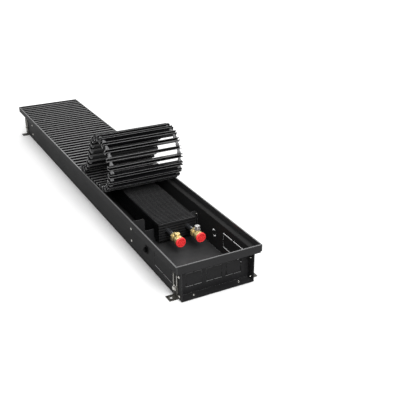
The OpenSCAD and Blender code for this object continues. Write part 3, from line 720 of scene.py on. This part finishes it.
BOLT_HEAD = BOLT_SEAT + WASHER_T + AIR
BOLT_END = BOLT_SEAT - 12
BOLT_TIP, BOLT_TIP_L = [(0, 2.2), (0.4, 2.6)], 0.6
BOLT_R, BOLT_CORE_R = 2.98, 2.62
BOLT_PITCH = 1.0
BOLT_THREAD_TOP, BOLT_NECK = -1.8, -1.7
HEX_FLATS = 5.02
WASHER_FACE = [(-0.05, 4.6), (0.3, 4.9)]
HEX_HEAD = [(0.3, 5.4), (0.7, 5.8), (3.2, 5.8), (3.95, 4.9), (4.0, 4.6), (3.75, 3.9), (3.7, 0.4)]


def bolt_shank():
    """The outline of the bolt's thread and of its plain neck up to the head."""
    outline = raised(BOLT_TIP, BOLT_END)
    depth = BOLT_END + BOLT_TIP_L
    while depth < BOLT_THREAD_TOP:
        outline += [(depth, BOLT_R), (depth + BOLT_PITCH / 2, BOLT_CORE_R)]
        depth += BOLT_PITCH
    return outline + [(BOLT_NECK, BOLT_R), (BOLT_HEAD, BOLT_R)]


def bolt(mesh, place):
    lathe(mesh, place, raised(WASHER_FACE, BOLT_HEAD), RING_STEPS)
    lathe(mesh, place, raised(HEX_HEAD, BOLT_HEAD), RING_STEPS, hexagon(HEX_FLATS))
    lathe(mesh, place, bolt_shank(), steps=24)


def hexagon_bolts():
    mesh = bmesh.new()
    for x in (-FOOT_X, FOOT_X):
        for side in SIDES:
            bolt(mesh, outward(x, side * WALL_Y, BOLT_Z, (0, side, 0)))
    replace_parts(piece("hexagon_bolts", mesh, "casing", "zinc_screws"), "foot_bolts")


# Cap faces: two raised rings with six ribs between them, a low boss, and thin floors between these

CAP_RINGS = (
    [(-0.3, 12.0), (0.1, 11.9), (0.12, 6.3), (-0.3, 6.2)],
    [(-0.3, 13.2), (0.75, 13.0), (0.75, 11.9), (-0.3, 11.6)],
    [(-0.3, 6.7), (0.75, 6.5), (0.75, 5.1), (-0.3, 4.9)],
    [(-0.3, 5.2), (0.1, 5.1), (0.12, 2.7), (-0.3, 2.6)],
)
CAP_BOSS = [(-0.3, 2.9), (0.7, 2.6), (0.9, 1.8), (0.9, 0.3)]
RIB_COUNT, RIB_TURN = 6, 15
RIB_IN, RIB_OUT = 6.3, 12.0
RIB_LOW, RIB_HIGH = -0.3, 0.6
RIB_HALF, RIB_ROOT_SPREAD = 0.8, 1.3


def cap_rib(mesh, place):
    """A rib along the place's X axis, wider at its root."""
    corners = [(RIB_IN, -RIB_HALF), (RIB_OUT, -RIB_HALF), (RIB_OUT, RIB_HALF), (RIB_IN, RIB_HALF)]
    low = [mesh.verts.new(place @ vector(u, v * RIB_ROOT_SPREAD, RIB_LOW)) for u, v in corners]
    high = [mesh.verts.new(place @ vector(u, v, RIB_HIGH)) for u, v in corners]
    mesh.faces.new(high)
    join_rings(mesh, low, high)


def cap_relief(side, y):
    mesh = bmesh.new()
    face = outward(CAP_X, y, TUBE_Z, ALONG)
    for outline in CAP_RINGS:
        closed_ring(mesh, face, outline)
    lathe(mesh, face, CAP_BOSS, steps=32)
    for rib in range(RIB_COUNT):
        turn = math.radians(360 / RIB_COUNT * rib + RIB_TURN)
        cap_rib(mesh, face @ Matrix.Rotation(turn, 4, "Z"))
    piece(f"cap_{side}_relief", mesh, f"cap_{side}", "red_caps", SHADED_CAP_RELIEF)


# Folds: the rounded bends of the sheet along the grille ledges and the flanges of the end pieces

LEDGE_FOLD_END, LEDGE_FOLD_R = 716, 0.72
END_FOLD_END, END_FOLD_R = 104, 0.75
BEND_TIP_L, BEND_TIP_SHARE = 0.5, 0.4


def bend_line(mesh, start, end, radius):
    """A thin rod from start to end that narrows at its tips."""
    run = Vector(end) - Vector(start)
    tip = radius * BEND_TIP_SHARE
    outline = [(0, tip), (BEND_TIP_L, radius), (run.length - BEND_TIP_L, radius), (run.length, tip)]
    lathe(mesh, outward(*start, run), outline, steps=16)


def ledge_folds():
    mesh = bmesh.new()
    for side in SIDES:
        y, z = side * (WALL_IN + SHEET / 2), LEDGE_TOP - SHEET / 2
        bend_line(mesh, (-LEDGE_FOLD_END, y, z), (LEDGE_FOLD_END, y, z), LEDGE_FOLD_R)
    piece("ledge_folds", mesh, "casing", "black_powder_coat")


# Their up-facing tops lie in the end coat's band of sheared edges, and so take that painted highlight
def end_folds():
    mesh = bmesh.new()
    for side in SIDES:
        x, z = side * END_FLANGE_X, FLOOR_TOP + AIR + SHEET / 2
        bend_line(mesh, (x, -END_FOLD_END, z), (x, END_FOLD_END, z), END_FOLD_R)
    piece("end_folds", mesh, "casing", "end_powder_coat")


# Rubber plug: a moulded ring on its face and a stepped nipple in the middle

PLUG_RING = [(1.4, 10.4), (2.1, 10.2), (2.4, 9.7), (2.4, 9.1), (1.9, 8.7), (1.4, 8.7)]
PLUG_NIPPLE = [
    (1.9, 8.1), (2.9, 8.3), (5.4, 7.7), (5.9, 7.1), (6.0, 6.5), (8.2, 6.1), (8.6, 5.6), (8.6, 3.6),
    (7.9, 3.2), (7.8, 0.3)]


def plug_rings():
    mesh = bmesh.new()
    face = outward(PLUG_X, -WALL_Y, PLUG_Z, (0, -1, 0))
    closed_ring(mesh, face, PLUG_RING)
    lathe(mesh, face, PLUG_NIPPLE, steps=40)
    piece("plug_rings", mesh, "casing", "plug_rubber")


# Feet: two pressed beads beside each slot, and a rolled ring round each anchor hole

FEET = {
    "front_left": (FOOT_X, -1), "front_right": (FOOT_X, 1),
    "rear_left": (-FOOT_X, -1), "rear_right": (-FOOT_X, 1),
}
BEAD_R = 0.8
# How far each bead is from the middle of the foot, and its lowest and highest point
BEADS = ((-9.4, 28, 66), (9.4, 38, 68))
ANCHOR_RING = [(-0.3, 4.3), (0.5, 4.5), (0.7, 5.0), (0.5, 5.6), (-0.3, 5.9)]


def foot_details(foot, x, side):
    mesh = bmesh.new()
    y = side * FOOT_FACE
    for off, low, high in BEADS:
        bend_line(mesh, (x + off, y, low), (x + off, y, high), BEAD_R)
    piece(f"foot_{foot}_beads", mesh, f"foot_{foot}", "zinc_feet", FOOT_BEAD_HIGHLIGHT)
    mesh = bmesh.new()
    closed_ring(mesh, outward(x, side * ANCHOR_Y, FOOT_T, UP), ANCHOR_RING)
    piece(f"foot_{foot}_ring", mesh, f"foot_{foot}", "zinc_feet")


# Tubes: a collar where each enters its nut, and solder rings at the cover

NUT_RING_X, NUT_RING_H, NUT_RING_W = NUT_X0 - 1.2, 1.3, 2.2
SOLDER_X, SOLDER_H, SOLDER_W = COVER_X + 1.4, 0.7, 1.8
TUBE_RING_SUNK = 0.2


def tube_rings(name, slot, x, height, width):
    """A rounded ring on each tube, with its foot a little inside the tube."""
    mesh = bmesh.new()
    foot, shoulder, top = TUBE_R - TUBE_RING_SUNK, TUBE_R + height / 2, TUBE_R + height
    outline = [
        (-width / 2, foot), (-width / 2, shoulder), (-width / 4, top),
        (width / 4, top), (width / 2, shoulder), (width / 2, foot)]
    for y in TUBE_YS:
        closed_ring(mesh, outward(x, y, TUBE_Z, ALONG), outline, steps=40)
    piece(name, mesh, "casing", slot)


# Valves: a turned ring on the end of each union nut, and thread turns on the mouth behind each cap

NUT_FACE = [(-0.3, 10.2), (0.0, 11.4), (0.5, 11.4), (0.9, 10.9), (0.9, 10.2)]
MOUTH_TURNS, MOUTH_PITCH, MOUTH_THREAD_IN = 3, 1.1, 3.6
MOUTH_THREAD = [(-0.5, MOUTH_R - 0.2), (0.0, MOUTH_R + 0.22), (0.5, MOUTH_R - 0.2)]


def nut_faces():
    mesh = bmesh.new()
    for y in TUBE_YS:
        closed_ring(mesh, outward(NUT_X0 + NUT_L, y, TUBE_Z, ALONG), NUT_FACE)
    piece("nut_faces", mesh, "casing", "brass_fittings")


def mouth_threads():
    mesh = bmesh.new()
    for y in TUBE_YS:
        for turn in range(MOUTH_TURNS):
            x = MOUTH_X - MOUTH_THREAD_IN + turn * MOUTH_PITCH
            closed_ring(mesh, outward(x, y, TUBE_Z, ALONG), MOUTH_THREAD)
    piece("mouth_threads", mesh, "casing", "brass_fittings")


# Drain plug: a raised rim and a centre dimple ring on its head

DRAIN_RIM = [(-0.3, 6.6), (0.2, 6.5), (0.35, 6.1), (0.35, 5.6), (-0.3, 5.4)]
DRAIN_DIMPLE = [(-0.3, 2.2), (0.2, 2.1), (0.2, 1.5), (-0.3, 1.3)]


def drain_plug_rings():
    mesh = bmesh.new()
    head = outward(PORT_X, TUBE_YS[0], DRAIN_TOP, UP)
    closed_ring(mesh, head, DRAIN_RIM)
    closed_ring(mesh, head, DRAIN_DIMPLE)
    piece("drain_plug_rings", mesh, "drain_plug", "brass_fittings")


# Air vent: a knurled band round the knob, and two rings under it

KNOB_BAND = [(0.7, 7.4), (0.8, 8.2), (1.1, 8.5), (2.7, 8.5), (3.0, 8.2), (3.1, 7.4)]
KNURL_COUNT, KNURL_R, KNURL_DEPTH, KNURL_STEPS = 24, 8.5, 0.6, 192
VENT_COLLAR = [(-2.6, 6.0), (-2.6, 6.9), (-2.2, 7.2), (-1.6, 7.2), (-1.2, 6.9), (-1.2, 6.0)]
VENT_SEAT = [(-8.5, 8.0), (-8.3, 8.8), (-7.9, 8.9), (-7.8, 8.0)]


def knob_knurl(knob):
    mesh = bmesh.new()
    lathe(mesh, knob, KNOB_BAND, KNURL_STEPS, knurl(KNURL_COUNT, KNURL_R, KNURL_DEPTH))
    piece("knob_knurl", mesh, "vent_screw", "nickel_vent")


def vent_rings(knob):
    mesh = bmesh.new()
    closed_ring(mesh, knob, VENT_COLLAR)
    closed_ring(mesh, knob, VENT_SEAT)
    piece("vent_rings", mesh, "casing", "nickel_vent")


# All the pieces

for body, links in MOVING.items():
    moving_sleeves(body, links)
flat_sleeves()
bracket_screws()
casing_screws()
hexagon_bolts()
for side, y in zip(("left", "right"), TUBE_YS):
    cap_relief(side, y)
ledge_folds()
end_folds()
plug_rings()
for foot, (x, side) in FEET.items():
    foot_details(foot, x, side)
tube_rings("nut_rings", "brass_fittings", NUT_RING_X, NUT_RING_H, NUT_RING_W)
tube_rings("tube_beads", "fin_cover", SOLDER_X, SOLDER_H, SOLDER_W)
nut_faces()
mouth_threads()
drain_plug_rings()
vent_knob = outward(PORT_X, TUBE_YS[1], KNOB_LOW, UP)
knob_knurl(vent_knob)
vent_rings(vent_knob)


# Floor, light and camera, in metres and watts

WHITE = (1, 1, 1, 1)
SKY_LIGHT = 0.44
FLOOR_SIZE = 60
FLOOR_DROP = 0.0003
FLOOR_BOUNCE = (0.86, 0.86, 0.86, 1)
# Pairs of a span in metres and what it maps to, along the heater or away from its middle
PAINT_ALONG = ((-0.2, 0.8), (0.98, 0.9))
LIFT_ALONG = ((-0.8, 0.6), (0.21, 0.02))
LIFT_NEAR = ((0.8, 1.5), (0.0, 0.45))
LIFT_FAR = ((1.5, 4.0), (0.0, 0.22))
LAMPS = {
    "top_light": dict(place=(-0.2, 0.3, 3.6), target=(-0.2, 0, 0), size=(4.0, 3.0), power=30),
    "front_light": dict(place=(2.6, -0.2, 2.1), target=(0.55, 0, 0), size=(1.4, 1.4), power=92),
    "back_light": dict(place=(-2.9, 1.9, 1.9), target=(0.2, 0, 0), size=(3.2, 1.6), power=45),
}


def room_light():
    """Soft light from all round, in a room that looks white."""
    world = bpy.data.worlds.new("studio")
    bpy.context.scene.world = world
    tree = empty_tree(world)
    soft = add(tree, "Background", {"Color": WHITE, "Strength": SKY_LIGHT})
    white = add(tree, "Background", {"Color": WHITE, "Strength": 1.0})
    both = add(tree, "MixShader", {0: seen_ray(tree), 1: soft.outputs[0], 2: white.outputs[0]})
    add(tree, "OutputWorld", {"Surface": both.outputs[0]})


def floor_paint(tree, along):
    """Nearly white where it is seen, a little deeper towards the camera, and greyer to other rays."""
    return blended(tree, seen_ray(tree), FLOOR_BOUNCE, grey(tree, spread(tree, along, *PAINT_ALONG)))


def floor_lift(tree, place, along):
    """A glow, only where it is seen, that keeps the floor white outside the heater's shadow."""
    away = add(tree, "VectorMath", {0: place}, operation="LENGTH").outputs["Value"]
    near = counted(tree, "ADD", spread(tree, away, *LIFT_NEAR), spread(tree, along, *LIFT_ALONG))
    level = counted(tree, "ADD", near, spread(tree, away, *LIFT_FAR))
    return times(tree, seen_ray(tree), level)


def studio_floor():
    bpy.ops.mesh.primitive_plane_add(size=FLOOR_SIZE, location=(0, 0, -FLOOR_DROP))
    floor = bpy.context.active_object
    floor.name = "studio_floor"
    material = bpy.data.materials.new("studio_floor")
    tree = empty_tree(material)
    place = add(tree, "NewGeometry").outputs["Position"]
    along = axis_of(tree, place, 0)
    paper = add(tree, "BsdfDiffuse", {"Color": floor_paint(tree, along)})
    lift = add(tree, "Emission", {"Color": WHITE, "Strength": floor_lift(tree, place, along)})
    both = add(tree, "AddShader", {0: paper.outputs[0], 1: lift.outputs[0]})
    add(tree, "OutputMaterial", {"Surface": both.outputs[0]})
    dress(floor, material)


def soft_lamp(name, place, target, size, power):
    """A rectangular lamp that shines from its place towards the target."""
    data = bpy.data.lights.new(name, "AREA")
    data.shape = "RECTANGLE"
    data.size, data.size_y = size
    data.energy = power
    lamp = bpy.data.objects.new(name, data)
    bpy.context.scene.collection.objects.link(lamp)
    lamp.location = place
    lamp.rotation_euler = (Vector(target) - Vector(place)).to_track_quat("-Z", "Y").to_euler()


def photo_camera():
    data = bpy.data.cameras.new("camera")
    data.lens = CAMERA_LENS
    data.sensor_width = CAMERA_SENSOR
    camera = bpy.data.objects.new("camera", data)
    bpy.context.scene.collection.objects.link(camera)
    camera.location = CAMERA_PLACE
    camera.rotation_euler = (math.radians(CAMERA_TILT), 0, math.radians(CAMERA_TURN))
    bpy.context.scene.camera = camera


room_light()
studio_floor()
for name, lamp in LAMPS.items():
    soft_lamp(name, **lamp)
photo_camera()
bpy.context.scene.view_settings.view_transform = "Standard"
